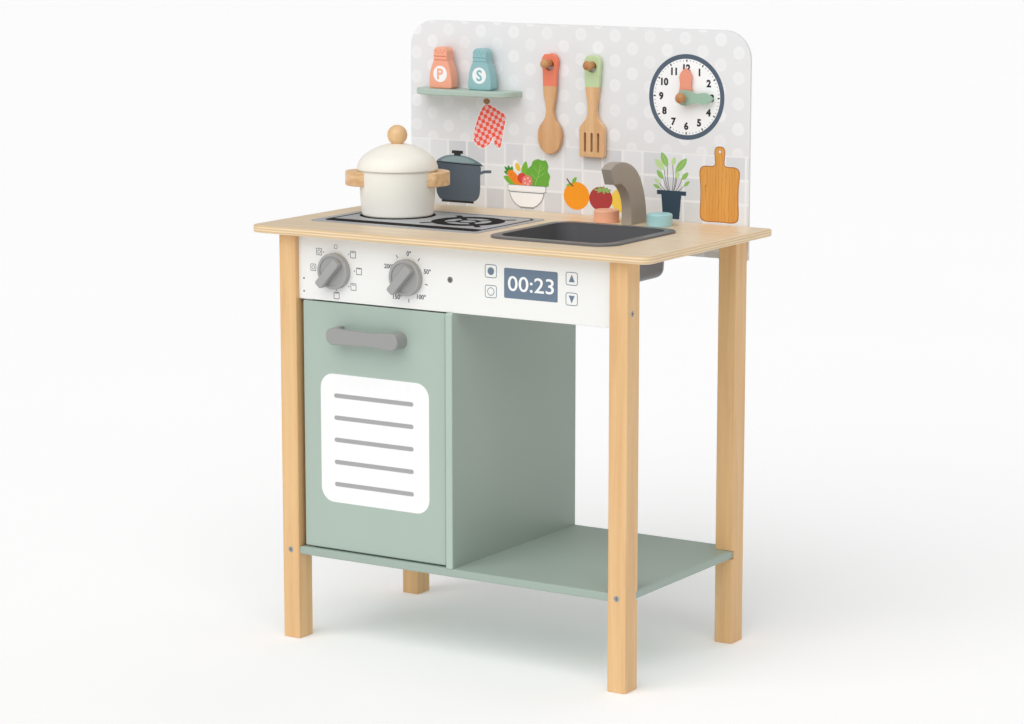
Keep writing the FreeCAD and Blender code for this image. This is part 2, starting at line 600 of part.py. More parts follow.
def clock_hand(length, waist, head, y0, to_right=False):
    """Hand with a round hub, a slight waist and a pointed leaf end."""
    hub, thick = 10.7, 4.0

    def place(across, out):
        a, b = (out, -across) if to_right else (across, out)
        return Vector(CLOCK_X + a, y0, CLOCK_Z + b)
    half = [(2.2, length - 1.6), (head * 0.66, length * 0.88), (head, length * 0.71),
            (waist, length * 0.46), (9.8, 8.0), (hub, -1.0), (7.5, -7.7)]
    whole = half + [(0, -hub)] + [(-a, b) for a, b in half[::-1]]
    hand = spline_outline(place, whole, ((0, length), half[0])).extrude(Vector(0, thick, 0))
    return hand.cut(rod(CLOCK_STEM_R + FIT, (CLOCK_X, 100, CLOCK_Z), (0, 1, 0), 100))


# ---- the whole kitchen --------------------------------------------------------------
def nodes():
    made = {
        "leg_front_left": leg(True, True), "leg_front_right": leg(False, True),
        "leg_back_left": leg(True, False), "leg_back_right": leg(False, False),
        "bottom_shelf": bottom_shelf(), "countertop": countertop(),
        "control_panel": control_panel(), "backboard": backboard(),
        "divider_panel": divider_panel(), "oven_side_left": oven_side(), "oven_back": oven_back(),
        "corner_block": corner_block(),
        "oven_door": oven_door(), "door_handle": door_handle(),
        "pivot_hinge_top": pivot_hinge(True), "pivot_hinge_bottom": pivot_hinge(False),
        "strike_plate": strike_plate(), "magnet_catch": magnet_catch(),
        "sink_basin": sink_basin(), "faucet": faucet(), "hob_plate": hob_plate(),
        "pot_body": pot_body(), "pot_lid": pot_lid(), "lid_knob": lid_knob(),
        "pot_handle_left": pot_handle(POT_TURN + 180), "pot_handle_right": pot_handle(POT_TURN),
        "wall_shelf": wall_shelf(), "pepper_shaker": shaker(SHAKERS_X[0]),
        "salt_shaker": shaker(SHAKERS_X[1]), "spoon": spoon(), "spatula": spatula(),
        "spoon_peg": peg(SPOON_X, PEG_Z, PEG_STEM_R, PEG_BALL_R, PEG_BALL_Y),
        "spatula_peg": peg(SPATULA_X, PEG_Z, PEG_STEM_R, PEG_BALL_R, PEG_BALL_Y),
        "clock_peg": peg(CLOCK_X, CLOCK_Z, CLOCK_STEM_R, CLOCK_BALL_R, CLOCK_BALL_Y),
        "clock_hour_hand": clock_hand(40.4, 8.4, 9.4, BACK - 6.0),
        "clock_minute_hand": clock_hand(45.5, 6.6, 8.0, BACK - 11.0, to_right=True),
    }
    for side, x in zip(("left", "right"), DIALS_X):
        made["dial_" + side] = dial(x)
        made["dial_bolt_" + side] = dial_bolt(x)
    for side, x in zip(("left", "right"), TAPS_X):
        made["tap_" + side] = tap(x)
        made["tap_axle_" + side] = tap_axle(x)
    for name in fastener_places():
        made[name] = fasteners(name)
    return made


os.makedirs("parts", exist_ok=True)
for node, shape in nodes().items():
    if not shape.isValid():
        print("invalid:", node)
    shape.exportStep("parts/" + node + ".step")
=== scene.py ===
"""Toy kitchen: materials, printed graphics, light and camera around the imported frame."""
import math

import bmesh
import bpy
from mathutils import Matrix, Vector


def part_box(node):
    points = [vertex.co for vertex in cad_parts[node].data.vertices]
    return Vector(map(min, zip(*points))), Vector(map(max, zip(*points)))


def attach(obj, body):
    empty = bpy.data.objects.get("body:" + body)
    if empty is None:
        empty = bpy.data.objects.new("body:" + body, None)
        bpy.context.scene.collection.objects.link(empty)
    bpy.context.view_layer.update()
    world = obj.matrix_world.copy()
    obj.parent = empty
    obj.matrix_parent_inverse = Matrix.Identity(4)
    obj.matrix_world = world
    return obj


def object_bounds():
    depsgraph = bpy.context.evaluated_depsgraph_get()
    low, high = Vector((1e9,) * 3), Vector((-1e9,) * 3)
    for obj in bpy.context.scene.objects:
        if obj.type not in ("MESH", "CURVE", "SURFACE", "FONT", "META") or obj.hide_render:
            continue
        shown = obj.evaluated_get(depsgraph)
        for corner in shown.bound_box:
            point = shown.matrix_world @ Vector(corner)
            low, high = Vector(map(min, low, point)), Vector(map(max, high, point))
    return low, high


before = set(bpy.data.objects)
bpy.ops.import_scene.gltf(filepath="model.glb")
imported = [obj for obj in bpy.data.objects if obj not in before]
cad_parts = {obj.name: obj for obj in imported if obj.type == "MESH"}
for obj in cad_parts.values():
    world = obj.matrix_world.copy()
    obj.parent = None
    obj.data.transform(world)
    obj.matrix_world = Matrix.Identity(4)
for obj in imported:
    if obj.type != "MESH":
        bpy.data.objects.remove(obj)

MM = 0.001
cad_low, cad_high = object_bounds()


# ---- node helpers -------------------------------------------------------------------
def rgb(r, g, b):
    """An 8-bit screen colour as the linear value that a shader takes."""
    def lin(c):
        c /= 255
        return c / 12.92 if c <= 0.04045 else ((c + 0.055) / 1.055) ** 2.4
    return lin(r), lin(g), lin(b), 1.0


class Look:
    """One procedural material and short ways to add nodes to it."""

    def __init__(self, name, rough=0.5, specular=0.5, metallic=0.0, coat=0.0, coat_rough=0.2):
        self.material = bpy.data.materials.new(name)
        self.material.use_nodes = True
        self.tree = self.material.node_tree
        self.shader = self.tree.nodes["Principled BSDF"]
        self.shader.inputs["Roughness"].default_value = rough
        self.shader.inputs["Specular IOR Level"].default_value = specular
        self.shader.inputs["Metallic"].default_value = metallic
        self.shader.inputs["Coat Weight"].default_value = coat
        self.shader.inputs["Coat Roughness"].default_value = coat_rough
        self.place = self.tree.nodes.new("ShaderNodeTexCoord").outputs["Object"]

    def put(self, value, socket):
        if isinstance(value, bpy.types.NodeSocket):
            self.tree.links.new(value, socket)
        else:
            socket.default_value = value

    def node(self, kind, **settings):
        made = self.tree.nodes.new("ShaderNode" + kind)
        for key, value in settings.items():
            setattr(made, key, value)
        return made

    def math(self, operation, a, b=0.0, c=0.0):
        made = self.node("Math", operation=operation)
        for value, socket in zip((a, b, c), made.inputs):
            self.put(value, socket)
        return made.outputs[0]

    def stretched(self, scale, turn=(0, 0, 0), source=None):
        made = self.node("Mapping")
        self.put(source or self.place, made.inputs["Vector"])
        made.inputs["Scale"].default_value = scale
        made.inputs["Rotation"].default_value = turn
        return made.outputs[0]

    def noise(self, vector, scale=1.0, detail=3.0, rough=0.5, distortion=0.0):
        made = self.node("TexNoise")
        self.put(vector, made.inputs["Vector"])
        made.inputs["Scale"].default_value = scale
        made.inputs["Detail"].default_value = detail
        made.inputs["Roughness"].default_value = rough
        made.inputs["Distortion"].default_value = distortion
        return made.outputs["Fac"]

    def fade(self, value, low, high, out_low=0.0, out_high=1.0, smooth=True):
        made = self.node("MapRange", interpolation_type="SMOOTHSTEP" if smooth else "LINEAR")
        for key, item in zip(("Value", "From Min", "From Max", "To Min", "To Max"),
                             (value, low, high, out_low, out_high)):
            self.put(item, made.inputs[key])
        return made.outputs["Result"]

    def mix(self, share, a, b, blend="MIX"):
        made = self.node("Mix", data_type="RGBA", blend_type=blend)
        self.put(share, made.inputs[0])
        self.put(a, made.inputs[6])
        self.put(b, made.inputs[7])
        return made.outputs[2]

    def axes(self, vector=None):
        made = self.node("SeparateXYZ")
        self.put(vector or self.place, made.inputs[0])
        return made.outputs

    def normal_axes(self):
        return self.axes(self.node("NewGeometry").outputs["Normal"])

    def bump(self, height, depth, strength=0.4):
        made = self.node("Bump")
        made.inputs["Strength"].default_value = strength
        made.inputs["Distance"].default_value = depth
        self.put(height, made.inputs["Height"])
        self.put(made.outputs[0], self.shader.inputs["Normal"])

    def colour(self, value):
        self.put(value, self.shader.inputs["Base Color"])

    def roughness(self, value):
        self.put(value, self.shader.inputs["Roughness"])


def shade(colour, factor):
    return tuple(min(1.0, c * factor) for c in colour[:3]) + (1.0,)


# ---- materials ----------------------------------------------------------------------
GRAIN = {"X": (0.05, 1, 1), "Y": (1, 0.05, 1), "Z": (1, 1, 0.05)}


def wood_colour(look, light, dark, grain, streak=1.0, fleck=0.5):
    """Bands, growth lines and fibres along one axis; returns the colour and the fibre height."""
    along = GRAIN[grain]
    banded = look.stretched(tuple(70 * a for a in along))
    bands = look.noise(banded, 1.0, 3.0, 0.55, 0.6)
    rings = look.noise(look.stretched(tuple(260 * a for a in along)), 1.0, 5.0, 0.6, 1.4)
    lines = look.math("ABSOLUTE", look.math("SINE", look.math("MULTIPLY", rings, 26.0)))
    fibre = look.noise(look.stretched(tuple(1500 * a for a in along)), 1.0, 4.0, 0.6)
    share = look.fade(bands, 0.28, 0.74, 0.0, 0.75 * streak)
    colour = look.mix(share, light, dark)
    thin = look.math("MULTIPLY", look.fade(lines, 0.0, 0.22, 1.0, 0.0), 0.30 * streak)
    colour = look.mix(thin, colour, shade(dark, 0.86))
    speck = look.math("MULTIPLY", look.fade(fibre, 0.56, 0.72), 0.45 * fleck)
    return look.mix(speck, colour, shade(dark, 0.72)), fibre


def wood(name, light, dark, grain="Z", streak=1.0, fleck=0.5, rough=0.42):
    """Lacquered solid wood."""
    look = Look(name, rough, coat=0.12, coat_rough=0.25)
    colour, fibre = wood_colour(look, light, dark, grain, streak, fleck)
    look.colour(colour)
    look.roughness(look.fade(fibre, 0.3, 0.7, rough - 0.06, rough + 0.10))
    look.bump(fibre, 0.00025, 0.25)
    return look


def dipped_wood(name, light, dark, paint, edge_z):
    """Wooden utensil whose upper end is dipped in paint, with a crisp edge."""
    look = Look(name, 0.4, coat=0.1)
    bare, fibre = wood_colour(look, light, dark, "Z", 1.0, 0.9)
    wobble = look.noise(look.stretched((120, 120, 120)), 1.0, 2.0)
    height = look.math("ADD", look.axes()[2], look.math("MULTIPLY", wobble, 0.0008))
    painted = look.fade(height, edge_z + 0.0001, edge_z + 0.0008)
    tone = look.noise(look.stretched((300, 300, 40)), 1.0, 3.0)
    coat = look.mix(tone, shade(paint, 0.94), shade(paint, 1.05))
    look.colour(look.mix(painted, bare, coat))
    look.bump(look.math("MULTIPLY", fibre, look.fade(painted, 0, 1, 1.0, 0.35)), 0.00025, 0.25)
    return look


def paint(name, colour, rough=0.42, grain=0.0, coat=0.05, spread=0.035, peel=0.00006, side=1.0):
    """Sprayed paint: a faint orange peel and slow changes of tone; grain shows wood under it.

    side paints shade on the faces that look left or right, darkening them as painted shade."""
    look = Look(name, rough, coat=coat, coat_rough=0.3)
    slow = look.noise(look.stretched((9, 9, 9)), 1.0, 3.0)
    fine = look.noise(look.stretched((1100, 1100, 1100)), 1.0, 2.0)
    tone = look.mix(slow, shade(colour, 1 - spread), shade(colour, 1 + spread))
    tone = look.mix(look.fade(fine, 0.35, 0.65, 0.0, 0.35), tone, shade(colour, 0.965))
    height = fine
    if grain:
        fibre = look.noise(look.stretched((500, 500, 18)), 1.0, 4.0, 0.6)
        tone = look.mix(look.fade(fibre, 0.5, 0.75, 0.0, grain), tone, shade(colour, 0.8))
        height = look.math("ADD", fine, look.math("MULTIPLY", fibre, 2.0 * grain))
    # Painted shade: faces that look left or right are darkened by the side factor.
    if side < 1.0:
        side_shade_mask = look.fade(look.math("ABSOLUTE", look.normal_axes()[0]), 0.6, 0.9)
        tone = look.mix(side_shade_mask, tone, (side, side, side, 1.0), "MULTIPLY")
    look.colour(tone)
    look.roughness(look.fade(slow, 0.3, 0.7, rough - 0.05, rough + 0.06))
    look.bump(height, peel, 0.5)
    return look


def plastic(name, colour, rough=0.4, texture=700.0, depth=0.00008, specular=0.5):
    """Moulded plastic with a fine spark-eroded texture."""
    look = Look(name, rough, specular)
    fine = look.noise(look.stretched((texture,) * 3), 1.0, 4.0, 0.65)
    slow = look.noise(look.stretched((14, 14, 14)), 1.0, 2.0)
    tone = look.mix(slow, shade(colour, 0.95), shade(colour, 1.05))
    look.colour(look.mix(look.fade(fine, 0.4, 0.7, 0, 0.5), tone, shade(colour, 1.08)))
    look.roughness(look.fade(fine, 0.3, 0.7, rough - 0.07, rough + 0.07))
    look.bump(fine, depth, 0.5)
    return look


def steel(name, colour, rough=0.32):
    look = Look(name, rough, metallic=1.0)
    smear = look.noise(look.stretched((900, 900, 160)), 1.0, 4.0)
    look.colour(look.mix(smear, shade(colour, 0.72), shade(colour, 1.12)))
    look.roughness(look.fade(smear, 0.25, 0.75, rough - 0.08, rough + 0.18))
    look.bump(smear, 0.00005, 0.4)
    return look


def ink(name, colour, rough=0.5, spread=0.03, specular=0.35):
    """Printed colour: a very fine screen grain and slow changes of tone."""
    look = Look(name, rough, specular)
    fine = look.noise(look.stretched((2600, 2600, 2600)), 1.0, 1.0)
    slow = look.noise(look.stretched((60, 60, 60)), 1.0, 2.0)
    tone = look.mix(slow, shade(colour, 1 - spread), shade(colour, 1 + spread))
    look.colour(look.mix(look.fade(fine, 0.4, 0.6, 0.0, 0.3), tone, shade(colour, 1 - spread)))
    look.roughness(look.fade(fine, 0.3, 0.7, rough - 0.04, rough + 0.04))
    return look


def shaded_ink(name, light, dark, low, high, axis=2):
    """Print that changes from dark to light across the object."""
    look = Look(name, 0.5, 0.4)
    across = look.fade(look.axes()[axis], low, high)
    fine = look.noise(look.stretched((2600, 2600, 2600)), 1.0, 1.0)
    colour = look.mix(across, dark, light)
    look.colour(look.mix(look.fade(fine, 0.4, 0.6, 0.0, 0.12), colour, dark))
    return look


def counter_look():
    """Veneered board: pale grain on the faces, plywood layers on the edges."""
    look = Look("counter_veneer", 0.4, coat=0.12, coat_rough=0.3)
    top, fibre = wood_colour(look, rgb(240, 219, 188), rgb(222, 195, 158), "X", 0.85, 0.45)
    z = look.axes()[2]
    wave = look.math("SINE", look.math("MULTIPLY", z, 2 * math.pi / (3.7 * MM)))
    grain = look.noise(look.stretched((25, 25, 900)), 1.0, 4.0)
    edge = look.mix(look.fade(wave, -0.5, 0.6), rgb(220, 188, 144), rgb(240, 219, 184))
    edge = look.mix(look.fade(grain, 0.45, 0.72, 0, 0.5), edge, rgb(212, 178, 130))
    flat = look.fade(look.math("ABSOLUTE", look.normal_axes()[2]), 0.75, 0.93)
    look.colour(look.mix(flat, edge, top))
    look.bump(fibre, 0.0002, 0.25)
    return look


BOARD_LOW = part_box("backboard")[0]
TILE_TOP, TILE_W, TILE_H = 0.6847, 0.0328, 0.0333
DOT_AT, DOT_ACROSS, DOT_UP, DOT_R = (-0.271, 0.8447), 0.0562, 0.0350, 0.0093


def backboard_look():
    """Printed board: soft dots above, a square grid of tiles below, plain edges and back."""
    look = Look("printed_backboard", 0.45, 0.4, coat=0.06, coat_rough=0.3)
    x, y, z = look.axes()
    slow = look.noise(look.stretched((5, 5, 5)), 1.0, 2.0)
    dots = look.mix(slow, rgb(229, 229, 230), rgb(235, 235, 236))
    for shift in (0.0, 0.5):
        u = look.math("ADD", look.math("DIVIDE", x, DOT_ACROSS), 20.5 + shift - DOT_AT[0] / DOT_ACROSS)
        v = look.math("ADD", look.math("DIVIDE", z, DOT_UP), 30.5 + shift - DOT_AT[1] / DOT_UP)
        cell = look.node("CombineXYZ")
        look.put(look.math("FLOOR", u), cell.inputs[0])
        look.put(look.math("FLOOR", v), cell.inputs[1])
        look.put(shift, cell.inputs[2])
        chance = look.node("TexWhiteNoise")
        look.put(cell.outputs[0], chance.inputs["Vector"])
        du = look.math("MULTIPLY", look.math("SUBTRACT", look.math("FRACT", u), 0.5), DOT_ACROSS)
        dv = look.math("MULTIPLY", look.math("SUBTRACT", look.math("FRACT", v), 0.5), DOT_UP)
        away = look.math("SQRT", look.math("ADD", look.math("MULTIPLY", du, du),
                                           look.math("MULTIPLY", dv, dv)))
        disc = look.fade(away, DOT_R - 0.0016, DOT_R + 0.0008, 1.0, 0.0)
        rim = look.fade(away, 0.002, DOT_R, 0.7, 1.0)
        tone = look.fade(chance.outputs["Value"], 0.0, 1.0, 0.45, 0.9, smooth=False)
        share = look.math("MULTIPLY", look.math("MULTIPLY", disc, rim), tone)
        dots = look.mix(share, dots, rgb(245, 245, 246))
    flat = look.node("CombineXYZ")
    look.put(look.math("ADD", x, 0.2487 + 40 * TILE_W), flat.inputs[0])
    look.put(look.math("SUBTRACT", z, TILE_TOP - 20 * TILE_H), flat.inputs[1])
    brick = look.node("TexBrick", offset=0.0)
    look.put(flat.outputs[0], brick.inputs["Vector"])
    brick.inputs["Scale"].default_value = 1.0
    brick.inputs["Mortar Size"].default_value = 0.0030
    brick.inputs["Mortar Smooth"].default_value = 1.0
    brick.inputs["Brick Width"].default_value = TILE_W
    brick.inputs["Row Height"].default_value = TILE_H
    brick.inputs["Color1"].default_value = rgb(216, 218, 222)
    brick.inputs["Color2"].default_value = rgb(238, 239, 241)
    brick.inputs["Mortar"].default_value = rgb(246, 246, 247)
    seam = look.fade(z, TILE_TOP - 0.0002, TILE_TOP + 0.0002)
    print_side = look.mix(seam, brick.outputs["Color"], dots)
    facing = look.fade(look.normal_axes()[1], -0.9, -0.7, 1.0, 0.0)
    plain = look.mix(look.noise(look.stretched((40, 40, 40)), 1.0, 3.0), rgb(222, 222, 221),
                     rgb(233, 233, 232))
    look.colour(look.mix(facing, plain, print_side))
    look.bump(look.noise(look.stretched((900,) * 3), 1.0, 2.0), 0.00004, 0.4)
    return look


def mitt_look():
    """Red cloth print, checked with pink squares that hold a small flower."""
    look = Look("mitt_print", 0.55, 0.4)
    cell = 0.0058
    turned = look.stretched((1 / cell, 0, 1 / cell), (0, math.radians(17), 0))
    x, y, z = look.axes(turned)
    red, pink = rgb(255, 94, 70), rgb(253, 194, 194)
    odd = look.math("PINGPONG", look.math("ADD", look.math("FLOOR", x), look.math("FLOOR", z)), 1.0)
    du = look.math("SUBTRACT", look.math("FRACT", x), 0.5)
    dv = look.math("SUBTRACT", look.math("FRACT", z), 0.5)
    away = look.math("SQRT", look.math("ADD", look.math("MULTIPLY", du, du),
                                       look.math("MULTIPLY", dv, dv)))
    petals = look.math("SINE", look.math("MULTIPLY", look.math("ARCTAN2", du, dv), 4.0))
    edge = look.math("ADD", away, look.math("MULTIPLY", petals, 0.04))
    flower = look.mix(look.fade(edge, 0.30, 0.36, 0.8, 0.0), pink, rgb(252, 226, 224))
    flower = look.mix(look.fade(away, 0.10, 0.16, 0.7, 0.0), flower, red)
    look.colour(look.mix(odd, flower, red))
    return look


def board_look():
    """Brown print with wavy grain lines that run up the cutting board."""
    look = Look("board_print", 0.5, 0.35)
    sway = look.noise(look.stretched((60, 60, 22)), 1.0, 2.0)
    across = look.math("ADD", look.math("MULTIPLY", look.axes()[0], 650.0),
                       look.math("MULTIPLY", sway, 10.0))
    lines = look.fade(look.math("ABSOLUTE", look.math("SINE", across)), 0.0, 0.4, 0.6, 0.0)
    base = look.mix(look.noise(look.stretched((90, 90, 9)), 1.0, 3.0), rgb(238, 176, 92),
                    rgb(216, 146, 64))
    look.colour(look.mix(lines, base, rgb(180, 112, 48)))
    return look


def hob_look():
    look = Look("hob_sheet", 0.42, 0.3, metallic=0.35)
    brushed = look.noise(look.stretched((30, 1800, 1800)), 1.0, 4.0)
    look.colour(look.mix(brushed, rgb(172, 175, 179), rgb(198, 201, 204)))
    look.roughness(look.fade(brushed, 0.3, 0.7, 0.36, 0.5))
    look.bump(brushed, 0.00004, 0.3)
    return look


def floor_look():
    look = Look("studio_floor", 0.8, 0.1)
    soft = look.noise(look.stretched((1.5, 1.5, 1.5)), 1.0, 2.0)
    look.colour(look.mix(soft, rgb(250, 250, 250), rgb(252, 252, 252)))
    look.shader.inputs["Emission Color"].default_value = (1.0, 1.0, 1.0, 1.0)
    look.shader.inputs["Emission Strength"].default_value = 0.12
    return look


CORAL, AQUA, MINT = rgb(248, 172, 142), rgb(149, 192, 195), rgb(158, 190, 170)
SAGE = rgb(171, 188, 177)
NAVY, SLATE = rgb(52, 74, 92), rgb(104, 122, 140)
HONEY = (rgb(232, 192, 138), rgb(213, 162, 107))
BEECH = (rgb(226, 178, 128), rgb(203, 146, 94))

looks = {
    "leg": wood("leg_wood", *HONEY, "Z", 0.8, 0.35),
    "beech": wood("beech", *BEECH, "Z", 1.0, 1.0),
    "peg": wood("peg_wood", rgb(218, 164, 110), rgb(182, 122, 70), "Z", 1.3, 1.0),
    "beech_x": wood("beech_across", rgb(255, 222, 174), rgb(220, 172, 120), "X", 1.3, 0.9),
    "counter": counter_look(),
    "sage": paint("sage_paint", SAGE, 0.40),
    # Painted light and shade on the divider: a lighter sage for a lit front edge, and side faces
    # darkened as painted shade.
    "sage_divider_lit_and_shaded": paint("sage_paint_divider_lit_and_shaded", shade(SAGE, 1.08), 0.40, side=0.78),
    # Painted light: a lighter copy of the sage paint for the wall shelf.
    "sage_lit_copy": paint("sage_paint_lit_copy", shade(SAGE, 1.10), 0.40),
    # Painted shade: a darker copy of the sage paint for the bottom shelf under the counter.
    "sage_shaded_copy": paint("sage_paint_shaded_copy", shade(SAGE, 0.88), 0.5),
    "white": paint("white_paint", rgb(240, 240, 237), 0.38, spread=0.012),
    "backboard": backboard_look(),
    # Painted light and shade: the pot body and its lid are a lighter and a darker copy of one cream
    # paint.
    "cream": paint("cream_paint", rgb(255, 252, 242), 0.46, spread=0.015, peel=0.0001),
    "cream_lid_shaded_copy": paint("cream_lid_paint", rgb(249, 245, 234), 0.46, spread=0.015, peel=0.0001),
    "taupe": paint("taupe_paint", rgb(170, 159, 146), 0.5, grain=0.35),
    "coral": paint("coral_paint", CORAL, 0.42, grain=0.15),
    "aqua": paint("aqua_paint", AQUA, 0.42, grain=0.15),
    "mint": paint("mint_paint", MINT, 0.42, grain=0.1),
    "tap_coral": paint("tap_coral_paint", rgb(255, 187, 153), 0.42, grain=0.15),
    "tap_aqua": paint("tap_aqua_paint", rgb(172, 217, 221), 0.42, grain=0.15),
    "hand_coral": paint("hand_coral_paint", rgb(237, 154, 126), 0.42, grain=0.15),
    "handle": plastic("handle_plastic", rgb(154, 154, 152), 0.42),
    "grey": plastic("grey_plastic", rgb(161, 161, 159), 0.42),
    "sink": plastic("dark_grey_plastic", rgb(102, 102, 104), 0.36, 500.0, 0.00012),
    "black": plastic("black_plastic", rgb(38, 38, 40), 0.5),
    "zinc": steel("zinc_steel", rgb(180, 180, 178)),
    "dull_zinc": steel("dull_zinc_steel", rgb(146, 146, 144)),
    "knob": wood("knob_wood", rgb(238, 198, 147), rgb(216, 168, 116), "Z", 0.8, 0.5),
    "hob": hob_look(),
    "spoon": dipped_wood("dipped_spoon", *BEECH, rgb(240, 130, 98), 0.770),
    "spatula": dipped_wood("dipped_spatula", rgb(234, 192, 142), rgb(212, 160, 106), rgb(197, 218, 168),
                           0.7715),
}

NODE_LOOKS = {
    "leg": ["leg_front_left", "leg_front_right", "leg_back_left", "leg_back_right", "corner_block"],
    "knob": ["lid_knob"],
    "dull_zinc": ["divider_front_screw"],
    "beech": ["tap_axle_left", "tap_axle_right"],
    "peg": ["spoon_peg", "spatula_peg", "clock_peg"],
    "beech_x": ["pot_handle_left", "pot_handle_right"],
    "counter": ["countertop"],
    "sage": ["oven_door", "oven_side_left", "oven_back"],
    "sage_divider_lit_and_shaded": ["divider_panel"],
    "sage_lit_copy": ["wall_shelf"],
    "sage_shaded_copy": ["bottom_shelf"],
    "white": ["control_panel"],
    "backboard": ["backboard"],
    "cream": ["pot_body"],
    "cream_lid_shaded_copy": ["pot_lid"],
    "taupe": ["faucet"],
    "coral": ["pepper_shaker"],
    "aqua": ["salt_shaker"],
    "tap_coral": ["tap_left"],
    "tap_aqua": ["tap_right"],
    "hand_coral": ["clock_hour_hand"],
    "mint": ["clock_minute_hand"],
    "handle": ["door_handle"],
    "grey": ["dial_left", "dial_right"],
    "sink": ["sink_basin"],
    "black": ["magnet_catch", "panel_brads"],
    "hob": ["hob_plate"],
    "spoon": ["spoon"],
    "spatula": ["spatula"],
}


def dress_nodes():
    """Every CAD node takes its material; what is not listed is zinc-plated steel."""
    chosen = {node: key for key, nodes in NODE_LOOKS.items() for node in nodes}
    for node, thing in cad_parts.items():
        thing.data.materials.clear()
        thing.data.materials.append(looks[chosen.get(node, "zinc")].material)


dress_nodes()


# ---- flat printed pieces ------------------------------------------------------------
def facing_front(surface_y):
    """Plane of a print that faces the front; a is x and b is z, in millimetres."""
    return lambda a, b, out: Vector((a * MM, surface_y - out * MM, b * MM))


def facing_up(surface_z):
    """Plane of a print that faces up; a is x and b is y, in millimetres."""
    return lambda a, b, out: Vector((a * MM, b * MM, surface_z + out * MM))


def around(a, b, r, turn, stretch=1.0):
    """Point at a distance from a centre, clockwise in radians from straight up."""
    return a + r * math.sin(turn), b + r * stretch * math.cos(turn)


def circle(a, b, r, steps=48, flatten=1.0, turn=0.0):
    points = []
    for k in range(steps):
        t = 2 * math.pi * k / steps
        p, q = r * math.cos(t), r * flatten * math.sin(t)
        points.append((a + p * math.cos(turn) - q * math.sin(turn),
                       b + p * math.sin(turn) + q * math.cos(turn)))
    return points


def ring(a, b, r, width):
    return [circle(a, b, r), circle(a, b, r - width)[::-1]]


def box(a0, a1, b0, b1, r=0.0, steps=5):
    """Rectangle, with round corners if r is given."""
    if not r:
        return [(a0, b0), (a1, b0), (a1, b1), (a0, b1)]
    points = []
    corners = ((a1 - r, b0 + r, -90), (a1 - r, b1 - r, 0), (a0 + r, b1 - r, 90), (a0 + r, b0 + r, 180))
    for a, b, start in corners:
        for k in range(steps + 1):
            t = math.radians(start + 90 * k / steps)
            points.append((a + r * math.cos(t), b + r * math.sin(t)))
    return points


def frame_box(a0, a1, b0, b1, r, width):
    inner = box(a0 + width, a1 - width, b0 + width, b1 - width, max(r - width, 0.1))
    return [box(a0, a1, b0, b1, r), inner[::-1]]


def smooth(points, steps=6):
    """Closed curve through the points."""
    made, n = [], len(points)
    for k in range(n):
        p0, p1, p2, p3 = (Vector(points[(k + j) % n]) for j in (-1, 0, 1, 2))
        for s in range(steps):
            t = s / steps
            p = 0.5 * (2 * p1 + (p2 - p0) * t + (2 * p0 - 5 * p1 + 4 * p2 - p3) * t * t
                       + (3 * p1 - p0 - 3 * p2 + p3) * t ** 3)
            made.append((p.x, p.y))
    return made


def stroke(points, width, bend=0.0):
    """Line of even width; two points and a bend give a curved line."""
    if len(points) == 2:
        (a0, b0), (a1, b1) = points
        mid = ((a0 + a1) / 2 - bend * (b1 - b0), (b0 + b1) / 2 + bend * (a1 - a0))
        steps = 8 if bend else 1
        curve = []
        for k in range(steps + 1):
            t = k / steps
            curve.append(tuple((1 - t) ** 2 * p + 2 * t * (1 - t) * q + t * t * r
                               for p, q, r in zip(points[0], mid, points[1])))
        points = curve
    left, right = [], []
    for k, (a, b) in enumerate(points):
        a0, b0 = points[max(k - 1, 0)]
        a1, b1 = points[min(k + 1, len(points) - 1)]
        long = math.hypot(a1 - a0, b1 - b0)
        na, nb = -(b1 - b0) / long * width / 2, (a1 - a0) / long * width / 2
        left.append((a + na, b + nb))
        right.append((a - na, b - nb))
    return left + right[::-1]


def leaf(root, tip, width):
    """Pointed leaf between two points."""
    side = [(0.0, 0.0), (0.32, 0.18), (0.5, 0.45), (0.38, 0.75), (0.0, 1.0)]
    shape = side + [(-p, q) for p, q in side[-2:0:-1]]
    a, b = root
    length, t = math.hypot(tip[0] - a, tip[1] - b), math.atan2(tip[0] - a, tip[1] - b)
    return [(a + p * width * math.cos(t) + q * length * math.sin(t),
             b - p * width * math.sin(t) + q * length * math.cos(t)) for p, q in smooth(shape, 3)]


def flat_mesh(loops, low, high):
    """Thin solid between two heights over closed outlines; an outline inside another is a hole."""
    curve = bpy.data.curves.new("outline", "CURVE")
    curve.dimensions, curve.fill_mode, curve.extrude = "2D", "BOTH", (high - low) / 2
    for loop in loops:
        spline = curve.splines.new("POLY")
        spline.points.add(len(loop) - 1)
        for point, (a, b) in zip(spline.points, loop):
            point.co = (a, b, 0, 1)
        spline.use_cyclic_u = True
    return solid_of(curve, low, high)


def text_mesh(text, size, low, high, bold=0.012, wide=1.0):
    """Letters as a thin solid; bold thickens the strokes and wide stretches the line."""
    curve = bpy.data.curves.new("letters", "FONT")
    curve.body, curve.size, curve.extrude = text, size, (high - low) / 2
    curve.align_x, curve.align_y = "CENTER", "CENTER"
    curve.resolution_u = 4
    curve.offset = bold * size
    mesh = solid_of(curve, low, high)
    mesh.transform(Matrix.Diagonal((wide, 1, 1, 1)))
    return mesh


def solid_of(curve, low, high):
    """Mesh of a filled curve, moved between the two heights; the curve is used up."""
    holder = bpy.data.objects.new("holder", curve)
    bpy.context.scene.collection.objects.link(holder)
    depsgraph = bpy.context.evaluated_depsgraph_get()
    mesh = bpy.data.meshes.new_from_object(holder.evaluated_get(depsgraph))
    bpy.data.objects.remove(holder)
    bpy.data.curves.remove(curve)
    mesh.transform(Matrix.Translation((0, 0, (low + high) / 2)))
    return mesh


# A print starts SUNK below its surface and stands PROUD more with each level, in millimetres.
# STEP keeps the outlines of one print, which may overlap, at heights of their own.
SUNK, PROUD, STEP, STEPS = -0.05, 0.06, 0.002, 12


